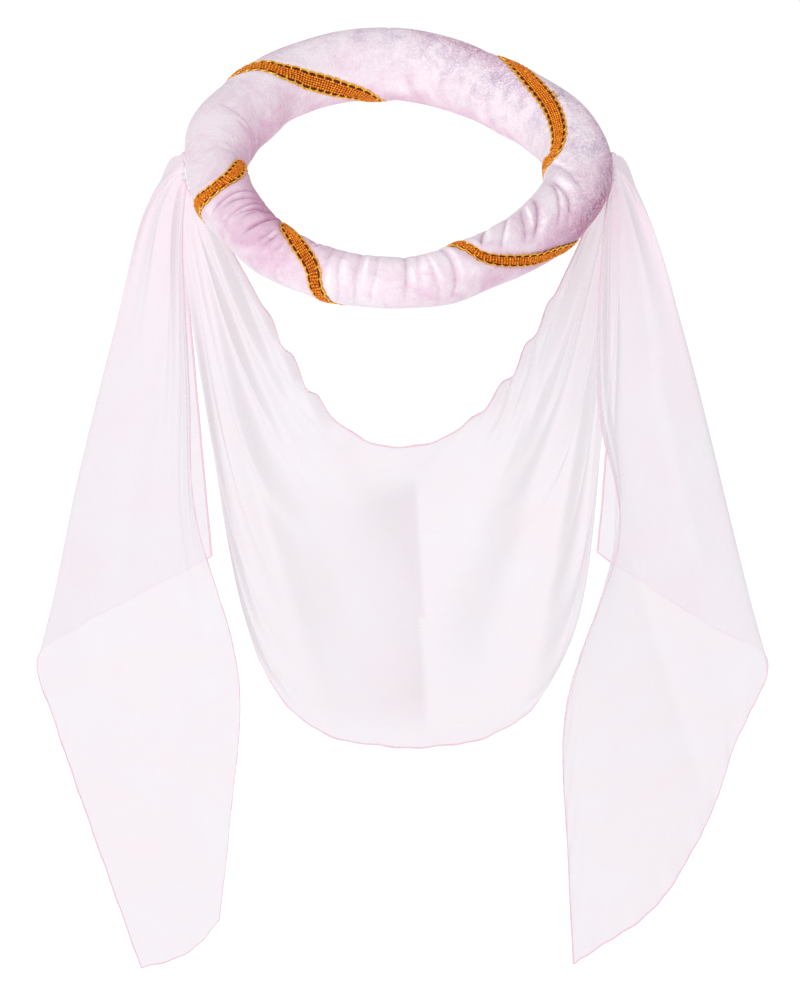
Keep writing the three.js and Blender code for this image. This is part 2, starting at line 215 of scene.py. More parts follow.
# Powers that crowd the rows of points towards the tails' ends and towards the pinch in the swag
TAIL_CROWDING = 0.8
SWAG_CROWDING = 1.25
# How much less a tail spreads where it leaves the pinch, and the share of the way over which that fades
TAIL_LEAVES = {"hold": 0.6, "reach": 0.12}
# The fold lines of the veil, from the hem that edges the swag's top to the hem that edges its foot.
# share: places across the cloth. depth, left_drop, right_drop: a tail line's y at its end and how far down
# that is. left_x, right_x: x at each station of a tail after the pinch.
TAIL_LINES = {
    "share": [0, 0.1, 0.2, 0.4, 0.54, 0.68, 0.84, 1],
    "depth": [-0.031, -0.029, -0.026, -0.015, -0.010, -0.005, 0.016, 0.024],
    "left_drop": [0.564, 0.593, 0.611, 0.458, 0.412, 0.363, 0.354, 0.311],
    "right_drop": [0.604, 0.582, 0.553, 0.485, 0.427, 0.365, 0.355, 0.308],
    "left_x": [
        (-0.120, -0.119, -0.118, -0.095, -0.104, -0.112),
        (-0.121, -0.121, -0.120, -0.102, -0.113, -0.131),
        (-0.122, -0.123, -0.124, -0.112, -0.130, -0.164),
        (-0.125, -0.130, -0.135, -0.142, -0.166, -0.200),
        (-0.131, -0.143, -0.153, -0.167, -0.188, -0.211),
        (-0.139, -0.157, -0.171, -0.191, -0.208, -0.220),
        (-0.134, -0.147, -0.159, -0.172, -0.184, -0.191),
        (-0.124, -0.122, -0.120, -0.117, -0.114, -0.112),
    ],
    "right_x": [
        (0.119, 0.120, 0.135, 0.106, 0.111, 0.116),
        (0.120, 0.122, 0.135, 0.112, 0.121, 0.141),
        (0.122, 0.125, 0.135, 0.121, 0.138, 0.169),
        (0.128, 0.130, 0.133, 0.154, 0.181, 0.200),
        (0.133, 0.146, 0.155, 0.176, 0.200, 0.214),
        (0.141, 0.162, 0.177, 0.198, 0.218, 0.231),
        (0.138, 0.155, 0.167, 0.180, 0.190, 0.194),
        (0.130, 0.131, 0.131, 0.129, 0.127, 0.125),
    ],
}
# The same fold lines across the swag: each half is a curve from the pinch to the middle, with a handle
# at its side and one level with the middle. side_y and middle_y are the depths of both halves.
SWAG_LINES = {
    "share": [0, 0.4, 0.68, 0.84, 1],
    "middle_x": [0.006, 0.009, 0.012, 0.013, 0.014],
    "middle_y": [-0.026, -0.024, -0.020, -0.016, -0.013],
    "middle_z": [-0.182, -0.283, -0.358, -0.397, -0.432],
    "side_y": [-0.028, -0.024, -0.012, -0.004, 0.007],
    "left_x": [-0.062, -0.094, -0.104, -0.100, -0.099],
    "left_z": [-0.071, -0.215, -0.320, -0.400, -0.365],
    "left_base": [-0.061, -0.066, -0.088, -0.095, -0.115],
    "right_x": [0.088, 0.108, 0.120, 0.120, 0.121],
    "right_z": [-0.055, -0.205, -0.300, -0.375, -0.345],
    "right_base": [0.066, 0.082, 0.108, 0.116, 0.108],
}
# The left tail's end hem turns a sharp corner at this share
LEFT_CORNER = 0.2
# Gathers: the cloth that a pinch takes up stands forwards and back in deeper pleats
GATHERS = {"count": 8, "start": 0.7, "depth": 0.028, "from_way": 0.03, "full_way": 0.28, "fade": 3.2}
# The swag's back edge swings outwards under each pinch, most at this share of the way to its middle
SWAG_SIDE = {"swing": 0.007, "most_at": 0.045, "from_share": 0.5, "full_share": 0.8}
# How far from a pinch the gathered cloth looks pinker, and how much of that is in its pleats
PINK = {"reach": 0.17, "even": 0.6, "in_pleats": 0.4}
# Folds that fan out from a pinch over its half of the swag. lean: degrees from straight down to the middle.
SWAG_FOLDS = {
    "left": [
        {"lean": 10.5, "spread": 2.0, "height": 0.0085},
        {"lean": 16.5, "spread": 2.6, "height": -0.0045},
        {"lean": 24.0, "spread": 3.5, "height": 0.0055},
    ],
    "right": [
        {"lean": 6.0, "spread": 1.6, "height": 0.0070},
        {"lean": 11.0, "spread": 2.4, "height": -0.0055},
        {"lean": 17.5, "spread": 3.2, "height": 0.0060},
        {"lean": 27.0, "spread": 4.0, "height": -0.0030},
    ],
}
FOLD_REACH = {"start": 0.02, "full": 0.12, "fade": 0.30, "end": 0.46}
# Creases pressed into the cloth, each from one place to another in x and z
SWAG_CREASE = {
    "part": "swag", "start": (0.0127, -0.200), "end": (0.0213, -0.425), "height": -0.0095, "reach": 0.030,
}
PRESSED = [
    SWAG_CREASE,
    {"part": "right", "start": (0.1355, -0.251), "end": (0.1999, -0.485), "height": -0.0030, "reach": 0.012},
    {"part": "right", "start": (0.150, -0.120), "end": (0.190, -0.300), "height": 0.0030, "reach": 0.014},
    {"part": "left", "start": (-0.204, -0.315), "end": (-0.172, -0.441), "height": -0.0030, "reach": 0.012},
    {"part": "left", "start": (-0.140, -0.100), "end": (-0.165, -0.300), "height": 0.0030, "reach": 0.014},
    {"part": "left", "start": (-0.125, -0.330), "end": (-0.150, -0.540), "height": 0.0030, "reach": 0.020},
]
# How round a pressed crease is along its line, and the share of it that dies away at each end
PRESSED_EDGE = {"radius": 0.0015, "ends": 0.15}
# How far the shade beside the swag's crease reaches
CREASE_SHADE_REACH = 0.045
# Shares across a tail between which its front layer turns to the back
FRONT_LAYER = (0.56, 0.68)
# Ripples of the swag's top hem on its two slopes, and the slight waver of every hem
TOP_RIPPLE = {
    "depth": 0.0052, "pitch": 0.034, "fade": 0.020, "rise_way": (0.22, 0.5), "fall_way": (0.6, 0.8),
}
HEM_WAVER = {
    "depth": 0.0006, "pitch": 0.043, "second": 0.7, "second_pitch": 0.019, "second_start": 1,
    "fade": 0.010, "rise_way": (0.15, 0.5), "foot_shift": 0.011, "end_shift": 0.007,
}
# The overlocked hem: a flat thread with another wound round it
HEM = {
    "half_width": 0.0007, "half_thickness": 0.0004, "step": 0.0006,
    "wrap": 0.0021, "wrap_depth": 0.22, "sides": 6,
}

# Stage
FLOOR_Z = -0.95
FLOOR_HALF = 12.0
WORLD_STRENGTH = 0.60
KEY_LIGHT = {"place": (-0.8, -2.2, 2.5), "towards": (0.0, 0.0, -0.2), "size": 1.8, "power": 62.0}
# Light passes through this many layers of sheer cloth
CLOTH_LAYERS = 24


# Shared helpers

def smoothstep(value, low, high):
    share = np.clip((value - low) / (high - low), 0.0, 1.0)
    return share * share * (3 - 2 * share)


def through(places, values, place, corner=None):
    """A smooth curve through rows of values at given places, read at each of an array of places.

    It may turn a sharp corner at one of the given places.
    """
    places = np.asarray(places, float)
    values = np.asarray(values, float)
    if corner is not None:
        k = list(places).index(corner)
        before = through(places[: k + 1], values[: k + 1], place[place <= corner])
        after = through(places[k:], values[k:], place[place > corner])
        return np.concatenate([before, after])
    last = len(places) - 1
    before = np.maximum(np.arange(last + 1) - 1, 0)
    after = np.minimum(np.arange(last + 1) + 1, last)
    column = (-1,) + (1,) * (values.ndim - 1)
    slopes = (values[after] - values[before]) / (places[after] - places[before]).reshape(column)
    i = np.clip(np.searchsorted(places, place) - 1, 0, last - 1)
    span = places[i + 1] - places[i]
    t = ((place - places[i]) / span).reshape(column)
    span = span.reshape(column)
    rise = t * t * (3 - 2 * t)
    leave = t * (1 - t) ** 2 * span * slopes[i]
    arrive = t * t * (t - 1) * span * slopes[i + 1]
    return values[i] * (1 - rise) + values[i + 1] * rise + leave + arrive


def between(ends, share):
    """A value part of the way from one end to the other."""
    return ends[0] + (ends[1] - ends[0]) * share


def unit(vectors):
    return vectors / np.maximum(np.linalg.norm(vectors, axis=-1, keepdims=True), 1e-12)


def grid_faces(rows, columns, close_rows=False, close_columns=False):
    """Quads of a grid of points, numbered row by row, joined end to start where it is closed."""
    i = np.arange(rows if close_rows else rows - 1)
    j = np.arange(columns if close_columns else columns - 1)
    i, j = np.meshgrid(i, j, indexing="ij")
    next_i = (i + 1) % rows
    next_j = (j + 1) % columns
    corners = [i * columns + j, next_i * columns + j, next_i * columns + next_j, i * columns + next_j]
    return np.stack([corner.ravel() for corner in corners], axis=1)


def mesh_object(name, points, faces, material):
    mesh = bpy.data.meshes.new(name)
    mesh.from_pydata(points.reshape(-1, 3).tolist(), [], faces.tolist())
    mesh.polygons.foreach_set("use_smooth", np.ones(len(mesh.polygons), dtype=bool))
    mesh.materials.append(material)
    mesh.update()
    piece = bpy.data.objects.new(name, mesh)
    bpy.context.scene.collection.objects.link(piece)
    return piece


def paint(piece, name, values):
    """A number at each point of a piece, for its material to read."""
    layer = piece.data.attributes.new(name, "FLOAT", "POINT")
    layer.data.foreach_set("value", np.ascontiguousarray(values, dtype=np.float32).ravel())


def linear(red, green, blue):
    """A colour given in the 0 to 255 of a screen, as Blender's linear colour."""
    def one(value):
        share = value / 255
        return share / 12.92 if share <= 0.04045 else ((share + 0.055) / 1.055) ** 2.4

    return (one(red), one(green), one(blue), 1.0)


# Materials

class Nodes:
    """A material's nodes, with short calls to add and join them."""

    def __init__(self, name):
        self.material = bpy.data.materials.new(name)
        self.material.use_nodes = True
        self.tree = self.material.node_tree
        self.shader = self.tree.nodes["Principled BSDF"]

    def set(self, **sockets):
        for name, value in sockets.items():
            self.shader.inputs[name.replace("_", " ")].default_value = value

    def add(self, kind, inputs=None, **settings):
        node = self.tree.nodes.new(kind)
        for name, value in settings.items():
            setattr(node, name, value)
        for name, value in (inputs or {}).items():
            if isinstance(value, bpy.types.NodeSocket):
                self.tree.links.new(value, node.inputs[name])
            else:
                node.inputs[name].default_value = value
        return node

    def link(self, output, name):
        self.tree.links.new(output, self.shader.inputs[name])

    def position(self):
        return self.add("ShaderNodeTexCoord").outputs["Object"]

    def painted(self, name):
        """The number that paint() put at each point."""
        return self.add("ShaderNodeAttribute", attribute_name=name).outputs["Fac"]

    def noise(self, where, scale, detail=3.0, roughness=0.5, distortion=0.0):
        inputs = {"Vector": where, "Scale": scale, "Detail": detail}
        inputs |= {"Roughness": roughness, "Distortion": distortion}
        return self.add("ShaderNodeTexNoise", inputs).outputs["Fac"]

    def ramp(self, value, *stops):
        node = self.add("ShaderNodeValToRGB", {"Fac": value})
        while len(node.color_ramp.elements) < len(stops):
            node.color_ramp.elements.new(1.0)
        for element, (place, colour) in zip(node.color_ramp.elements, stops):
            element.position = place
            element.color = colour
        return node.outputs["Color"]

    def mask(self, value, *stops):
        """A ramp between black and white, with each stop's place and its share of white."""
        return self.ramp(value, *[(place, (white, white, white, 1.0)) for place, white in stops])

    def mix(self, factor, first, second):
        node = self.add("ShaderNodeMix", data_type="RGBA", blend_type="MIX")
        sockets = {"Factor_Float": factor, "A_Color": first, "B_Color": second}
        for socket in node.inputs:
            value = sockets.get(socket.identifier)
            if value is None:
                continue
            if isinstance(value, bpy.types.NodeSocket):
                self.tree.links.new(value, socket)
            else:
                socket.default_value = value
        return next(s for s in node.outputs if s.identifier == "Result_Color")

    def math(self, operation, first, second):
        return self.add("ShaderNodeMath", {0: first, 1: second}, operation=operation).outputs["Value"]

    def times(self, first, second):
        return self.math("MULTIPLY", first, second)

    def bump(self, height, distance, strength, normal=None):
        inputs = {"Height": height, "Distance": distance, "Strength": strength}
        if normal is not None:
            inputs["Normal"] = normal
        return self.add("ShaderNodeBump", inputs).outputs["Normal"]


# Among the velvet colours, the crease colour is painted shade and the near-white highlight and glow colours
# are painted highlights
VELVET = {
    "light": linear(244, 233, 240), "mid": linear(228, 192, 213), "dark": linear(172, 90, 132),
    "valley_shade": linear(164, 94, 138), "mauve": linear(174, 148, 182), "fibre": linear(206, 166, 196),
    "curl": linear(253, 249, 254), "fine_curl": linear(250, 242, 250), "painted_highlight": linear(255, 250, 254),
    "glow": linear(255, 246, 253), "sheen": linear(250, 236, 250), "no_glow": (0.0, 0.0, 0.0, 1.0),
}
GOLD_CORD = {"bright": linear(255, 172, 22), "dark": linear(216, 78, 2), "rough": 0.28, "metallic": 0.30}
GOLD_LOOP = {"bright": linear(255, 210, 60), "dark": linear(230, 128, 10), "rough": 0.20, "metallic": 0.45}
# The braid's ground colour is partly its own dark red and partly painted shade in the gaps between the gold
# threads
GROUND_AND_GAP_SHADE = {"bright": linear(112, 34, 5), "dark": linear(70, 20, 3), "rough": 0.6, "metallic": 0.0}
ORGANZA = {
    "warm": linear(206, 197, 203), "cool": linear(204, 200, 206),
    "gathered": linear(222, 188, 203), "shaded": linear(188, 177, 184),
}
# How much the organza covers between its threads and on them
ORGANZA_COVER = (0.81, 0.86)
HEM_THREAD = {"dark": linear(230, 186, 206), "light": linear(243, 212, 226)}
FLOOR = {"dark": linear(250, 250, 250), "light": linear(252, 252, 252), "glow": linear(255, 255, 255)}


def velvet_material():
    nodes = Nodes("crushed_velvet")
    where = nodes.position()
    crushed = nodes.painted("crushed_pile_and_sheen")
    # The painted shade patches have ragged edges, and small dark patches lie all over
    ragged = nodes.math("SUBTRACT", nodes.noise(where, 65, 4, 0.65, 0.8), 0.5)
    shade = nodes.math("ADD", nodes.painted("painted_shade"), nodes.times(ragged, 0.9))
    pile = nodes.ramp(shade, (0.0, VELVET["light"]), (0.40, VELVET["mid"]), (1.0, VELVET["dark"]))
    # Painted shade darkens the pile in the crease valleys
    pile = nodes.mix(nodes.times(nodes.painted("valley_shade"), 0.9), pile, VELVET["valley_shade"])
    # Crushed pile: soft mauve patches with short bright curls over them, the curls partly painted highlight
    mauve = nodes.mask(nodes.noise(where, 75, 4, 0.6, 0.8), (0.44, 0), (0.68, 1))
    pile = nodes.mix(nodes.times(mauve, nodes.times(crushed, 0.9)), pile, VELVET["mauve"])
    curls_noise = nodes.noise(where, 165, 2, 0.55, 3.4)
    curls = nodes.mask(curls_noise, (0.455, 0), (0.50, 1), (0.545, 0))
    strength = nodes.math("ADD", nodes.times(crushed, 0.75), 0.08)
    pile = nodes.mix(nodes.times(curls, strength), pile, VELVET["curl"])
    fine_curls = nodes.mask(nodes.noise(where, 300, 2, 0.5, 3.0), (0.44, 0), (0.50, 1), (0.56, 0))
    pile = nodes.mix(nodes.times(fine_curls, nodes.times(crushed, 0.30)), pile, VELVET["fine_curl"])
    # Painted highlights on the ridges beside the creases, broken up along their length, and weaker ones on
    # the curls.
    broken = nodes.mask(nodes.noise(where, 75, 3, 0.55, 0.8), (0.36, 0), (0.52, 1))
    ridge_highlights = nodes.times(nodes.painted("glint"), broken)
    painted_highlight = nodes.math("ADD", ridge_highlights, nodes.times(nodes.times(curls, crushed), 0.5))
    pile = nodes.mix(painted_highlight, pile, VELVET["painted_highlight"])
    # The painted highlights also glow, though the velvet is no lamp
    nodes.link(nodes.mix(painted_highlight, VELVET["no_glow"], VELVET["glow"]), "Emission Color")
    fibres = nodes.noise(where, 900, 3, 0.65, 0.4)
    pile = nodes.mix(nodes.times(fibres, 0.22), pile, VELVET["fibre"])
    nodes.link(pile, "Base Color")
    nodes.set(Roughness=0.7, Sheen_Weight=0.12, Sheen_Roughness=0.4, Sheen_Tint=VELVET["sheen"])
    nodes.set(Specular_IOR_Level=0.2, Emission_Strength=0.28)
    coarse = nodes.bump(curls_noise, 0.0010, 0.5)
    nodes.link(nodes.bump(fibres, 0.0004, 0.6, coarse), "Normal")
    return nodes.material


def gold_material(name, thread):
    nodes = Nodes(name)
    where = nodes.position()
    glint = nodes.mask(nodes.noise(where, 900, 2, 0.6), (0.38, 0), (0.62, 1))
    nodes.link(nodes.mix(glint, thread["dark"], thread["bright"]), "Base Color")
    nodes.set(Roughness=thread["rough"], Metallic=thread["metallic"], Specular_IOR_Level=0.5)
    nodes.link(nodes.bump(nodes.noise(where, 2500, 2, 0.6), 0.0002, 0.5), "Normal")
    return nodes.material


def veil_material():
    nodes = Nodes("sheer_organza")
    cloth = nodes.add("ShaderNodeAttribute", attribute_name="cloth").outputs["Vector"]
    # Slubs: threads a little thicker along the cloth and across it
    along = nodes.add("ShaderNodeMapping", {"Vector": cloth, "Scale": (900.0, 18.0, 1.0)}).outputs["Vector"]
    across = nodes.add("ShaderNodeMapping", {"Vector": cloth, "Scale": (18.0, 900.0, 1.0)}).outputs["Vector"]
    warp = nodes.noise(along, 1.0, 2, 0.5)
    weft = nodes.noise(across, 1.0, 2, 0.5)
    threads = nodes.times(nodes.math("ADD", warp, weft), 0.5)
    crumple = nodes.noise(nodes.position(), 26, 4, 0.55, 0.5)
    tint = nodes.ramp(crumple, (0.3, ORGANZA["warm"]), (0.7, ORGANZA["cool"]))
    tint = nodes.mix(nodes.times(nodes.painted("gathered"), 0.35), tint, ORGANZA["gathered"])
    tint = nodes.mix(nodes.times(nodes.painted("crease_shade"), 0.5), tint, ORGANZA["shaded"])
    nodes.link(tint, "Base Color")
    thin, thick = ORGANZA_COVER
    cover = nodes.add("ShaderNodeMapRange", {0: threads, 1: 0.3, 2: 0.7, 3: thin, 4: thick})
    nodes.link(cover.outputs["Result"], "Alpha")
    nodes.set(Roughness=0.55, Sheen_Weight=0.06, Sheen_Roughness=0.35, Specular_IOR_Level=0.2)
    # A little glow stands for the light that comes through the cloth from behind
    nodes.link(tint, "Emission Color")
    nodes.set(Emission_Strength=0.35)
    nodes.link(nodes.bump(crumple, 0.003, 0.25), "Normal")
    return nodes.material


def hem_material():
    nodes = Nodes("overlocked_hem")
    shade = nodes.noise(nodes.position(), 700, 2, 0.6)
    nodes.link(nodes.mix(shade, HEM_THREAD["dark"], HEM_THREAD["light"]), "Base Color")
    nodes.set(Roughness=0.6, Sheen_Weight=0.2, Specular_IOR_Level=0.3)
    return nodes.material


def floor_material():
    nodes = Nodes("pale_floor")
    speck = nodes.noise(nodes.position(), 60, 2, 0.5)
    nodes.link(nodes.mix(speck, FLOOR["dark"], FLOOR["light"]), "Base Color")
    nodes.set(Roughness=0.9, Specular_IOR_Level=0.1)
    nodes.set(Emission_Color=FLOOR["glow"], Emission_Strength=0.30)
    return nodes.material


# Ring

def wrap_degrees(degrees):
    """Degrees brought to between -180 and 180."""
    return (degrees + 180) % 360 - 180


def bend(angle, name):
    """How much the short bends add at an angle round the ring; name is out or fatter."""
    total = np.zeros_like(angle)
    for row in RING_BENDS:
        off = wrap_degrees(np.degrees(angle) - row["degrees"])
        total = total + row[name] * np.exp(-((off / row["reach"]) ** 2))
    return total


def roll_centre(angle):
    scale = np.ones_like(angle)
    for row in RING_WARP:
        turned = row["waves"] * angle
        scale = scale + row["sine"] * np.sin(turned) + row["cosine"] * np.cos(turned)
    out = bend(angle, "out")
    x = (scale * RING_HALF_WIDTH + out) * np.cos(angle)
    y = (scale * RING_HALF_DEPTH + out) * np.sin(angle)
    return np.stack([x, y, np.zeros_like(x)], axis=-1)


def roll_outward(angle):
    along = roll_centre(angle + NUDGE) - roll_centre(angle - NUDGE)
    return unit(np.stack([along[..., 1], -along[..., 0], np.zeros_like(angle)], axis=-1))


def plain_radius(angle):
    far, near, left, right = (ROLL_RADIUS[side] for side in ("far", "near", "left", "right"))
    mean = (far + near + left + right) / 4
    lean = (far - near) / 2 * np.sin(angle) + (right - left) / 2 * np.cos(angle)
    oval = (left + right - far - near) / 4 * np.cos(2 * angle)
    return mean + lean + oval + bend(angle, "fatter")


def on_roll(degrees, turn, radius):
    """A point at a distance from the roll's middle line; turn 0 is its outer side and 90 its top."""
    angle = np.radians(degrees)
    turn = np.radians(turn)
    point = roll_centre(angle) + roll_outward(angle) * (radius * np.cos(turn))[..., None]
    point[..., 2] += radius * np.sin(turn)
    return point


def creases(degrees, turn):
    """The puckers of the roll: a sharp groove at each crease, with the velvet puffed up between them.

    Gives how far they sink and how bright the painted highlight beside each one is.
    """
    random = np.random.default_rng(CREASE_SEED)
    vary = CREASE_VARY
    relief = np.zeros_like(degrees)
    glint = np.zeros_like(degrees)
    mean_radius = (RING_HALF_WIDTH + RING_HALF_DEPTH) / 2
    for group in CREASE_GROUPS:
        spacing = (group["end"] - group["start"]) / group["count"]
        middle = (group["inner"] + group["outer"]) / 2
        reach = (group["inner"] - group["outer"]) / 2
        for i in range(group["count"]):
            place = group["start"] + spacing * (i + 0.5 + random.uniform(-vary["place"], vary["place"]))
            depth = group["depth"] * random.uniform(*vary["depth"])
            bow, wobble, slide, lean = random.uniform(-1, 1, 4)
            puff = np.radians(spacing) * mean_radius * random.uniform(*vary["puff"])
            across = wrap_degrees(turn - middle - vary["slide"] * slide) / reach
            line = place - (group["slant"] + vary["lean"] * lean) * across / 2
            line += vary["bow"] * bow * across**2 + vary["wobble"] * wobble * np.sin(4 * across)
            off = np.radians(wrap_degrees(degrees - line)) * mean_radius / puff
            fade = 1 - smoothstep(np.abs(across), *CREASE_FADE)
            pillow = np.sqrt(1 - (1 - np.clip(np.abs(off), 0, 1)) ** 2)
            relief = np.minimum(relief, depth * fade * (pillow - 1))
            ridge_at, ridge_width, ridge_shine, ridge_slide = random.uniform(0, 1, 4)
            from_ridge = (off - between(RIDGE_HIGHLIGHT["at"], ridge_at)) / between(RIDGE_HIGHLIGHT["width"], ridge_width)
            along_ridge = np.abs(across + between(RIDGE_HIGHLIGHT["slide"], ridge_slide))
            shine = group["glint"] * between(RIDGE_HIGHLIGHT["shine"], ridge_shine)
            shine = shine * (1 - smoothstep(along_ridge, RIDGE_HIGHLIGHT["full"], RIDGE_HIGHLIGHT["end"]))
            glint = np.maximum(glint, shine * np.exp(-(from_ridge**2)))
    return relief, glint


def patches(rows, degrees, turn):
    """Soft patches on the roll, added up and kept between 0 and 1."""
    total = np.zeros_like(degrees)
    for row in rows:
        wide = wrap_degrees(degrees - row["degrees"]) / row["wide"]
        tall = wrap_degrees(turn - row["turn"]) / row["tall"]
        total += row["depth"] * np.exp(-(wide**2) - tall**2)
    return np.clip(total, 0, 1)


def lumps(degrees, turn):
    """The slight unevenness of the filling."""
    total = np.zeros_like(degrees)
    for row in LUMPS:
        round_ring = np.sin(row["round_ring"] * np.radians(degrees) + row["ring_start"])
        round_roll = np.cos(row["round_roll"] * np.radians(turn) + row["roll_start"])
        total += row["height"] * round_ring * round_roll
    return total


def distance_to_braid(points):
    line = braid_line(BRAID_BED["step"])
    tree = KDTree(len(line["centre"]))
    for number, place in enumerate(line["centre"]):
        tree.insert(place, number)
    tree.balance()
    return np.array([tree.find(point)[2] for point in points.reshape(-1, 3)]).reshape(points.shape[:-1])


def velvet_roll(material):
    steps = ROLL_STEPS
    degrees = np.arange(steps["round_ring"]) * 360 / steps["round_ring"]
    turn = np.arange(steps["round_roll"]) * 360 / steps["round_roll"]
    degrees, turn = np.meshgrid(degrees, turn, indexing="ij")
    radius = plain_radius(np.radians(degrees))
    near_braid = distance_to_braid(on_roll(degrees, turn, radius))
    bed = BRAID_BED
    free = smoothstep(near_braid, bed["reach"], bed["clear"])
    puckers, glint = creases(degrees, turn)
    puckers = free * puckers
    relief = puckers + free * lumps(degrees, turn)
    relief -= bed["sink"] * (1 - smoothstep(near_braid / bed["reach"], bed["sink_from"], bed["sink_to"]))
    relief += bed["swell"] * np.exp(-(((near_braid - bed["swell_at"]) / bed["swell_width"]) ** 2))
    from_seam = np.radians(wrap_degrees(degrees - SEAM["degrees"])) * RING_HALF_DEPTH
    relief -= SEAM["depth"] * free * np.exp(-((from_seam / SEAM["width"]) ** 2))
    faces = grid_faces(*degrees.shape, close_rows=True, close_columns=True)
    piece = mesh_object("velvet_roll", on_roll(degrees, turn, radius + relief), faces, material)
    # Painted shade in the crease valleys
    paint(piece, "valley_shade", np.clip(-puckers / VALLEY_SHADE["depth"], 0, 1) ** VALLEY_SHADE["sharpness"])
    # Painted highlights beside the creases
    paint(piece, "glint", free * glint)
    # Patches of painted shade
    paint(piece, "painted_shade", patches(PAINTED_SHADE_PATCHES, degrees, turn))
    # Where the pile is crushed; its curls are partly painted highlight
    paint(piece, "crushed_pile_and_sheen", patches(CRUSHED_PILE_AND_SHEEN, degrees, turn))
    return piece


# Braid

def braid_degrees(turns):
    places = []
    values = []
    for lap in (-1, 0, 1):
        for number, row in enumerate(BRAID_TURNS):
            places += [lap * len(BRAID_TURNS) + number + share for share in BRAID_SHARES]
            values += [lap * 360 + degrees for degrees in row]
    return through(places, values, turns)


def braid_turn(turns):
    return 180 - 360 * turns


def braid_place(degrees, turn, height):
    return on_roll(degrees, turn, plain_radius(np.radians(degrees)) + height)


def braid_line(step):
    """The braid's middle line at even steps, with the degrees to its side for each metre."""
    laps = len(BRAID_TURNS)
    fine = np.linspace(0, laps, BRAID_MEASURED_POINTS)
    points = braid_place(braid_degrees(fine), braid_turn(fine), np.zeros_like(fine))
    length = np.concatenate([[0], np.cumsum(np.linalg.norm(np.diff(points, axis=0), axis=1))])
    count = round(length[-1] / step)
    run = np.arange(count) * length[-1] / count
    turns = np.interp(run, length, fine)
    degrees = braid_degrees(turns)
    turn = braid_turn(turns)
    flat = np.zeros_like(turns)
    centre = braid_place(degrees, turn, flat)
    ahead = unit(np.roll(centre, -1, axis=0) - np.roll(centre, 1, axis=0))
    round_ring = (braid_place(degrees + NUDGE, turn, flat) - centre) / NUDGE
    round_roll = (braid_place(degrees, turn + NUDGE, flat) - centre) / NUDGE
    ring_metres = np.linalg.norm(round_ring, axis=1)
    roll_metres = np.linalg.norm(round_roll, axis=1)
    run_ring = (ahead * round_ring).sum(axis=1) / ring_metres
    run_roll = (ahead * round_roll).sum(axis=1) / roll_metres
    size = np.hypot(run_ring, run_roll)
    return {
        "run": run, "turns": turns, "length": length[-1], "centre": centre, "degrees": degrees, "turn": turn,
        "ring_side": -run_roll / size / ring_metres, "roll_side": run_ring / size / roll_metres,
    }


def beside_braid(line, run, side, height):
    """Points at distances along the braid, to its side and above the roll."""
    run = np.asarray(run) % line["length"]
    known = np.append(line["run"], line["length"])
    laps = 360 * len(BRAID_TURNS)

    def read(name, gain=0):
        values = np.append(line[name], line[name][0] + gain)
        return np.interp(run, known, values)

    side = side * (1 + BRAID_WIDER * np.sin(np.radians(read("degrees", 360))))
    for place in BRAID_TIGHT:
        off = (read("turns", len(BRAID_TURNS)) - place["turns"]) / place["reach"]
        side = side * (1 - place["narrower"] * np.exp(-(off**2)))
    degrees = read("degrees", 360) + side * read("ring_side")
    turn = read("turn", -laps) + side * read("roll_side")
    return braid_place(degrees, turn, height)


def loop_phase(line, run, edge):
    """How far round its loop the thread of one edge is; the two edges' loops are half a pitch apart."""
    loops = round(line["length"] / BRAID_LOOPS["pitch"])
    return FULL_TURN * (loops * run / line["length"] + np.where(edge > 0, 0.5, 0.0))


def braid_ground(line, material):
    """The braid's ground strip, its dark colour partly its own and partly painted shade between the gold
    threads, with edges that follow the loops.
    """
    count = BRAID_GROUND["steps"] * round(line["length"] / BRAID_LOOPS["pitch"])
    run = np.arange(count) * line["length"] / count
    shares = np.array([-1, -0.5, 0, 0.5, 1, 1, 0.5, 0, -0.5, -1])
    edges = np.sign(shares)
    loop = 0.5 - 0.5 * np.cos(loop_phase(line, run[:, None], edges))
    reach = BRAID_GROUND["follow"] * BRAID_LOOPS["reach"] * loop
    side = shares * (BRAID_GROUND["half_width"] + reach)
    height = np.repeat([BRAID_GROUND["thickness"], 0.0], 5) - BRAID_GROUND["sink"]
    points = beside_braid(line, run[:, None] + 0 * side, side, height + 0 * side)
    faces = grid_faces(count, len(shares), close_rows=True, close_columns=True)
    return mesh_object("braid_ground", points, faces, material)


def tube_sections(line, run, side, height, radius, sides):
    """The rings of points of a thread that follows the braid."""
    angle = np.arange(sides) * FULL_TURN / sides
    across = side[:, None] + radius[:, None] * np.cos(angle)
    above = height[:, None] + radius[:, None] * np.sin(angle)
    return beside_braid(line, run[:, None] + 0 * angle, across, above)


def threads(name, rings, material):
    """One piece made of closed tubes, each given as its rings of points."""
    faces = []
    first = 0
    for ring in rings:
        faces.append(grid_faces(*ring.shape[:2], close_rows=True, close_columns=True) + first)
        first += ring.shape[0] * ring.shape[1]
    points = np.concatenate([ring.reshape(-1, 3) for ring in rings])
    return mesh_object(name, points, np.concatenate(faces), material)


def braid_cords(line, material):
    beads = round(line["length"] / BRAID_BEAD["pitch"])
    count = beads * BRAID_BEAD["steps"]
    run = np.arange(count) * line["length"] / count
    wave = np.cos(FULL_TURN * beads * run / line["length"])
    radius = BRAID_CORDS["radius"] * (1 + BRAID_BEAD["swell"] * wave)
    height = BRAID_CORDS["height"] + BRAID_BEAD["lift"] * wave
    rings = []
    for number in range(BRAID_CORDS["count"]):
        side = (number - (BRAID_CORDS["count"] - 1) / 2) * BRAID_CORDS["spacing"]
        rings.append(tube_sections(line, run, np.full(count, side), height, radius, BRAID_CORDS["sides"]))
    return threads("braid_cords", rings, material)


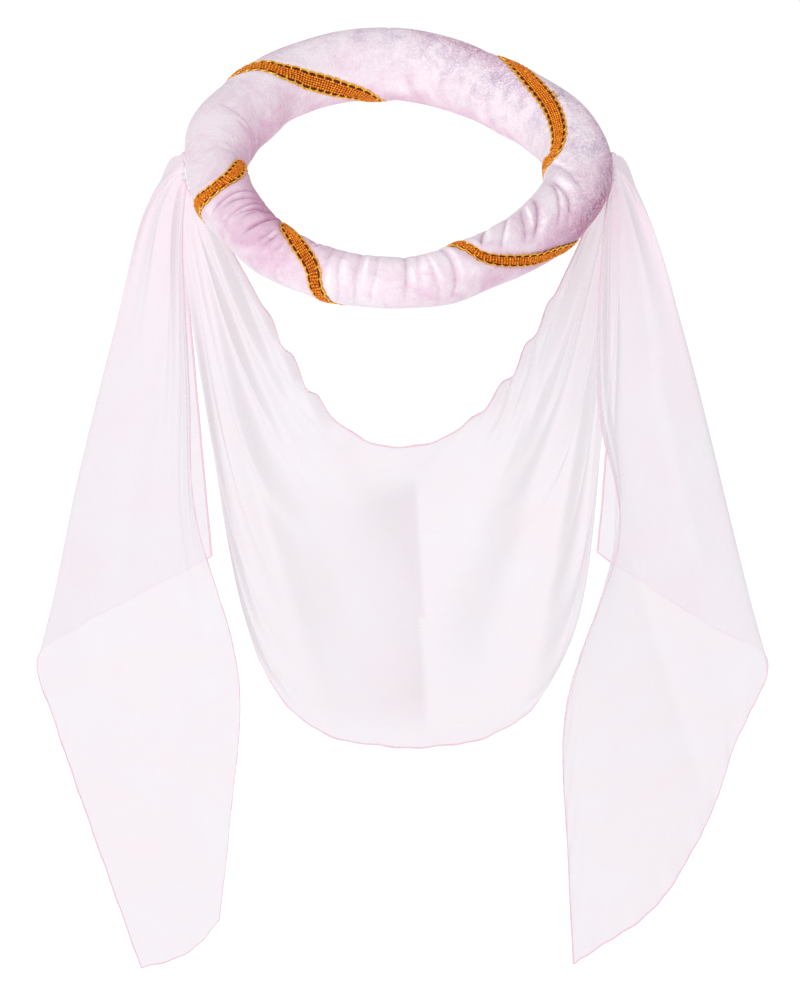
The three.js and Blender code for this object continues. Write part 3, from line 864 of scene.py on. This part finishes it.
def braid_loops(line, material):
    count = BRAID_LOOPS["steps"] * round(line["length"] / BRAID_LOOPS["pitch"])
    even = np.arange(count) * line["length"] / count
    thread = BRAID_LOOP_THREAD
    rings = []
    for edge in np.array([-1, 1]):
        phase = loop_phase(line, even, edge)
        run = even - BRAID_LOOPS["swing"] * np.sin(phase)
        pulled_at = np.interp(PULLED_LOOP["turns"], line["turns"], line["run"])
        from_pulled = (even - pulled_at) / BRAID_LOOPS["pitch"]
        pulled = PULLED_LOOP["reach"] * (edge == PULLED_LOOP["edge"]) * (np.abs(from_pulled) < 0.5)
        reach = BRAID_LOOPS["reach"] + pulled
        side = edge * (BRAID_LOOPS["base"] + reach * (0.5 - 0.5 * np.cos(phase)))
        height = thread["height"] + thread["sway"] * np.sin(phase)
        radius = np.full(count, thread["radius"])
        rings.append(tube_sections(line, run, side, height, radius, BRAID_LOOPS["sides"]))
    return threads("braid_loops", rings, material)


# Veil

def pleat_way(side, share):
    angle = math.pi * share
    return np.stack([side * np.sin(angle), -np.cos(angle), np.zeros_like(share)], axis=-1)


def pinch_points(side, share):
    angle = np.array(math.pi if side < 0 else 0.0)
    roll = roll_centre(angle)[0] + side * plain_radius(angle)
    way = pleat_way(side, share)
    x = roll + side * (PINCH["clear"] - PINCH["inset"]) + PINCH["radius_x"] * way[..., 0]
    y = PINCH["y"] + PINCH["radius_y"] * way[..., 1]
    z = PINCH["rise"] * share**2 - PINCH["sag"] * np.sin(math.pi * share)
    return np.stack([x, y, z], axis=-1)


def pleats(share, way):
    """How far the pleats stand out, at shares across the cloth and shares of the way from the pinch."""
    main = (PLEATS["at_pinch"] + PLEATS["growth"] * way) * (1 - way) ** PLEATS["fade"]
    fine = FINE_PLEATS["height"] * (1 - way) ** FINE_PLEATS["fade"]
    round_cloth = FULL_TURN * share
    return main * np.sin(PLEATS["count"] * round_cloth) + fine * np.sin(FINE_PLEATS["count"] * round_cloth)


def gathers(share, way):
    """How far the deeper pleats stand forwards, which is nothing where the cloth turns to its back layer."""
    start = smoothstep(way, GATHERS["from_way"], GATHERS["full_way"])
    swing = GATHERS["depth"] * start * (1 - way) ** GATHERS["fade"]
    return swing * np.cos(math.pi * share) * np.sin(FULL_TURN * GATHERS["count"] * share + GATHERS["start"])


def off_roll(points):
    """Cloth that would sink into the roll lies on it instead."""
    angle = np.arctan2(points[..., 1] / RING_HALF_DEPTH, points[..., 0] / RING_HALF_WIDTH)
    centre = roll_centre(angle)
    away = points - centre
    from_braid = wrap_degrees(np.degrees(angle) - OVER_BRAID["degrees"]) / OVER_BRAID["reach"]
    lift = OVER_BRAID["lift"] * np.exp(-(from_braid**2))
    least = (plain_radius(angle) + PINCH["clear"] + lift)[..., None]
    inside = np.linalg.norm(away, axis=-1, keepdims=True) < least
    return np.where(inside, centre + unit(away) * least, points)


def tail_points(side, share, way):
    """A tail's points, a row for each share of the way and a column for each share across."""
    name = "left" if side < 0 else "right"
    lines = TAIL_LINES["share"]
    start = pinch_points(side, share)
    corner = LEFT_CORNER if side < 0 else None
    drop = through(lines, TAIL_LINES[f"{name}_drop"], share, corner)
    depth = through(lines, TAIL_LINES["depth"], share)
    stations = through(lines, TAIL_LINES[f"{name}_x"], share, corner)
    x = through(TAIL_STATIONS, np.vstack([start[:, 0], stations.T]), way)
    along = way[:, None]
    hold = TAIL_LEAVES["hold"] * np.exp(-((along / TAIL_LEAVES["reach"]) ** 2))
    x = start[:, 0] + (x - start[:, 0]) * (1 - hold)
    y = start[:, 1] + (depth - start[:, 1]) * along * (2 - along) - gathers(share, along)
    z = start[:, 2] - drop * along**2
    points = np.stack([x, y, z], axis=-1)
    return points + pleat_way(side, share) * pleats(share, along)[..., None]


def swag_points(side, share, way):
    """Half of the swag, a row for each share of the way and a column for each share across."""
    name = "left" if side < 0 else "right"

    def value(heading):
        return through(SWAG_LINES["share"], SWAG_LINES[heading], share)

    start = pinch_points(side, share)
    handle = np.stack([value(f"{name}_x"), value("side_y"), value(f"{name}_z")], axis=-1)
    middle = np.stack([value("middle_x"), value("middle_y"), value("middle_z")], axis=-1)
    base = middle.copy()
    base[:, 0] += value(f"{name}_base")
    t = way[:, None, None]
    points = (1 - t) ** 3 * start + 3 * (1 - t) ** 2 * t * handle
    points += 3 * (1 - t) * t**2 * base + t**3 * middle
    points[..., 1] -= gathers(share, way[:, None])
    steps = way[:, None] / SWAG_SIDE["most_at"]
    back = smoothstep(share, SWAG_SIDE["from_share"], SWAG_SIDE["full_share"])
    points[..., 0] += side * SWAG_SIDE["swing"] * back * steps * np.exp(1 - steps)
    return points + pleat_way(side, share) * pleats(share, way[:, None])[..., None]


def grid_normals(points):
    down = np.gradient(points, axis=0)
    over = np.gradient(points, axis=1)
    return unit(np.cross(over, down))


def arc_lengths(points, axis):
    step = np.linalg.norm(np.diff(points, axis=axis), axis=-1)
    length = np.cumsum(step, axis=axis)
    return np.insert(length, 0, 0.0, axis=axis)


def veil_grid():
    """The veil's points from the left tail's end to the right tail's end, and each row's part and way."""
    share = np.linspace(0, 1, VEIL_STEPS["across"] + 1)
    tail_way = (np.arange(1, VEIL_STEPS["tail"] + 1) / VEIL_STEPS["tail"]) ** TAIL_CROWDING
    swag_way = (np.arange(VEIL_STEPS["half_swag"]) / VEIL_STEPS["half_swag"]) ** SWAG_CROWDING
    middle = np.array([1.0])
    grid = np.concatenate([
        tail_points(-1, share, tail_way)[::-1],
        swag_points(-1, share, swag_way),
        swag_points(1, share, middle),
        swag_points(1, share, swag_way)[::-1],
        tail_points(1, share, tail_way),
    ])
    way = np.concatenate([tail_way[::-1], swag_way, middle, swag_way[::-1], tail_way])
    in_swag = 2 * len(swag_way) + 1
    part = np.array(["left"] * len(tail_way) + ["swag"] * in_swag + ["right"] * len(tail_way))
    return grid, share, way, part


def fanned_folds(grid):
    """How far the swag's folds stand forwards, over the whole grid."""
    forward = np.zeros(grid.shape[:2])
    for name, side in (("left", -1), ("right", 1)):
        pinch = pinch_points(side, np.array(0.5))
        inwards = side * (pinch[0] - grid[..., 0])
        below = pinch[2] - grid[..., 2]
        away = np.hypot(inwards, below)
        lean = np.degrees(np.arctan2(inwards, below))
        shown = smoothstep(away, FOLD_REACH["start"], FOLD_REACH["full"])
        shown = shown * (1 - smoothstep(away, FOLD_REACH["fade"], FOLD_REACH["end"]))
        for fold in SWAG_FOLDS[name]:
            forward += shown * fold["height"] * np.exp(-(((lean - fold["lean"]) / fold["spread"]) ** 2))
    return forward


def along_crease(grid, crease):
    """How far each point is off a pressed crease's line, and how much of the crease there is beside it."""
    start = np.array(crease["start"])
    run = np.array(crease["end"]) - start
    place = grid[..., [0, 2]] - start
    along = np.clip((place @ run) / (run @ run), 0, 1)
    off = np.linalg.norm(place - along[..., None] * run, axis=-1)
    ends = smoothstep(np.minimum(along, 1 - along), 0.0, PRESSED_EDGE["ends"])
    return off, ends


def pressed_crease(grid, crease):
    """How far one pressed crease stands forwards: sharp along its line, dying away on both sides."""
    off, ends = along_crease(grid, crease)
    rounded = np.hypot(off, PRESSED_EDGE["radius"])
    return crease["height"] * ends * np.exp(-rounded / crease["reach"])


def crease_shade(grid, part):
    """How much darker the swag is on the left of its pressed crease, where the cloth leans away."""
    off, ends = along_crease(grid, SWAG_CREASE)
    start = np.array(SWAG_CREASE["start"])
    run = np.array(SWAG_CREASE["end"]) - start
    place = grid[..., [0, 2]] - start
    left = run[0] * place[..., 1] - run[1] * place[..., 0] < 0
    return (part == "swag")[:, None] * left * ends * np.exp(-off / CREASE_SHADE_REACH)


def hem_waver(distance, run):
    """The waver of a hem, from how far a point is from it and along it."""
    first = np.sin(FULL_TURN * run / HEM_WAVER["pitch"])
    second = np.sin(FULL_TURN * run / HEM_WAVER["second_pitch"] + HEM_WAVER["second_start"])
    wave = first + HEM_WAVER["second"] * second
    return HEM_WAVER["depth"] * wave * np.exp(-distance / HEM_WAVER["fade"])


def veil_relief(grid, share, way, part):
    """How far each point of the veil stands forwards of its fold lines."""
    across = arc_lengths(grid, 1)
    along = arc_lengths(grid, 0)
    in_swag = (part == "swag")[:, None]
    front = 1 - smoothstep(share, *FRONT_LAYER)
    forward = np.where(in_swag, fanned_folds(grid), 0.0)
    for crease in PRESSED:
        layer = 1.0 if crease["part"] == "swag" else front
        forward += np.where((part == crease["part"])[:, None], pressed_crease(grid, crease) * layer, 0.0)
    slope = smoothstep(way, *TOP_RIPPLE["rise_way"]) * (1 - smoothstep(way, *TOP_RIPPLE["fall_way"]))
    ripple = TOP_RIPPLE["depth"] * np.sin(FULL_TURN * along / TOP_RIPPLE["pitch"])
    ripple = ripple * np.exp(-across / TOP_RIPPLE["fade"]) * slope[:, None]
    forward += np.where(in_swag, ripple, 0.0)
    hanging = smoothstep(way, *HEM_WAVER["rise_way"])[:, None]
    forward += hanging * hem_waver(across, along)
    forward += hanging * hem_waver(across[:, -1:] - across, along + HEM_WAVER["foot_shift"])
    forward += hem_waver(along, across)
    forward += hem_waver(along[-1:] - along, across + HEM_WAVER["end_shift"])
    return forward, across, along


def gathered(grid, share):
    """How thick the gathered cloth looks: most at the pinches and in every other pleat."""
    total = np.zeros(grid.shape[:2])
    for side in (-1, 1):
        away = np.linalg.norm(grid - pinch_points(side, np.array(0.5)), axis=-1)
        total += np.clip(1 - away / PINK["reach"], 0, 1)
    return total * (PINK["even"] + PINK["in_pleats"] * np.cos(FULL_TURN * PLEATS["count"] * share))


def sheer_veil(material):
    grid, share, way, part = veil_grid()
    forward, across, along = veil_relief(grid, share, way, part)
    grid[..., 1] -= forward
    grid = off_roll(grid)
    piece = mesh_object("sheer_veil", grid, grid_faces(*grid.shape[:2]), material)
    paint(piece, "gathered", gathered(grid, share))
    paint(piece, "crease_shade", crease_shade(grid, part))
    cloth = piece.data.attributes.new("cloth", "FLOAT_VECTOR", "POINT")
    places = np.stack([across, along, np.zeros_like(across)], axis=-1)
    cloth.data.foreach_set("vector", places.ravel())
    return piece, grid


def hem_rim(grid):
    """The veil's edge as one closed line, with the way into the cloth and off it at each point."""
    normals = grid_normals(grid)
    into_rows = np.gradient(grid, axis=0)
    into_columns = np.gradient(grid, axis=1)
    edges = [
        (grid[:, 0], into_columns[:, 0], normals[:, 0]),
        (grid[-1, 1:], -into_rows[-1, 1:], normals[-1, 1:]),
        (grid[-2::-1, -1], -into_columns[-2::-1, -1], normals[-2::-1, -1]),
        (grid[0, -2:0:-1], into_rows[0, -2:0:-1], normals[0, -2:0:-1]),
    ]
    line, inward, off = (np.concatenate([edge[k] for edge in edges]) for k in range(3))
    return line, unit(inward), unit(off)


def veil_hem(grid, material):
    line, inward, off = hem_rim(grid)
    closed = np.vstack([line, line[:1]])
    run = np.concatenate([[0], np.cumsum(np.linalg.norm(np.diff(closed, axis=0), axis=1))])
    count = round(run[-1] / HEM["step"])
    at = np.arange(count) * run[-1] / count

    def read(values):
        values = np.vstack([values, values[:1]])
        return np.stack([np.interp(at, run, values[:, k]) for k in range(3)], axis=-1)

    middle = read(line)
    inward = unit(read(inward))
    off = unit(read(off))
    angle = np.arange(HEM["sides"]) * FULL_TURN / HEM["sides"]
    wraps = round(run[-1] / HEM["wrap"])
    wound = 1 + HEM["wrap_depth"] * np.cos(FULL_TURN * wraps * at[:, None] / run[-1] + angle)
    wide = (HEM["half_width"] * wound * np.cos(angle))[..., None] * inward[:, None]
    thick = (HEM["half_thickness"] * wound * np.sin(angle))[..., None] * off[:, None]
    points = middle[:, None] + wide + thick
    faces = grid_faces(count, HEM["sides"], close_rows=True, close_columns=True)
    return mesh_object("veil_hem", points, faces, material)


# Stage

def make_floor(material):
    corners = np.array([[-1, -1, 0], [1, -1, 0], [1, 1, 0], [-1, 1, 0]]) * FLOOR_HALF
    corners[:, 2] = FLOOR_Z
    floor = mesh_object("floor", corners, np.array([[0, 1, 2, 3]]), material)
    floor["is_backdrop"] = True


def make_camera():
    data = bpy.data.cameras.new("camera")
    data.sensor_fit = "VERTICAL"
    data.sensor_height = SENSOR_MM
    data.lens = CAMERA_FOCAL_PIXELS * SENSOR_MM / IMAGE_HEIGHT
    camera = bpy.data.objects.new("camera", data)
    camera.location = CAMERA_PLACE
    camera.rotation_euler = (math.radians(90 - CAMERA_PITCH), 0, 0)
    bpy.context.scene.collection.objects.link(camera)
    bpy.context.scene.camera = camera


def make_key_light():
    data = bpy.data.lights.new("key", "AREA")
    data.shape = "DISK"
    data.size = KEY_LIGHT["size"]
    data.energy = KEY_LIGHT["power"]
    light = bpy.data.objects.new("key", data)
    light.location = KEY_LIGHT["place"]
    x, y, z = np.array(KEY_LIGHT["towards"]) - np.array(KEY_LIGHT["place"])
    light.rotation_euler = (math.atan2(math.hypot(x, y), -z), 0, math.atan2(y, x) - math.pi / 2)
    bpy.context.scene.collection.objects.link(light)


def make_light():
    world = bpy.data.worlds.new("studio")
    world.use_nodes = True
    background = world.node_tree.nodes["Background"]
    background.inputs["Color"].default_value = (1.0, 1.0, 1.0, 1.0)
    background.inputs["Strength"].default_value = WORLD_STRENGTH
    bpy.context.scene.world = world
    make_key_light()
    bpy.context.scene.view_settings.view_transform = "Standard"
    bpy.context.scene.cycles.transparent_max_bounces = CLOTH_LAYERS


def dress(piece):
    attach(piece, "root")


make_camera()
make_light()
make_floor(floor_material())

roll = velvet_roll(velvet_material())
dress(roll)
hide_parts("padded_ring")

braid = braid_line(BRAID_STEP)
cords = braid_cords(braid, gold_material("gold_cord", GOLD_CORD))
loops = braid_loops(braid, gold_material("gold_loop", GOLD_LOOP))
ground = braid_ground(braid, gold_material("braid_ground", GROUND_AND_GAP_SHADE))
for strand in (cords, loops, ground):
    dress(strand)
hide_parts("gold_braid")

veil, veil_points = sheer_veil(veil_material())
hem = veil_hem(veil_points, hem_material())
for cloth_piece in (veil, hem):
    dress(cloth_piece)
    # Light goes through the sheer cloth, so it casts no shadow and shades nothing
    cloth_piece.visible_shadow = False
    cloth_piece.visible_diffuse = False
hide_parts("veil")

boxes = {"cad": CAD_BOX, "visual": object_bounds()}
for name, box in boxes.items():
    boxes[name] = [[float(value) for value in corner] for corner in box]
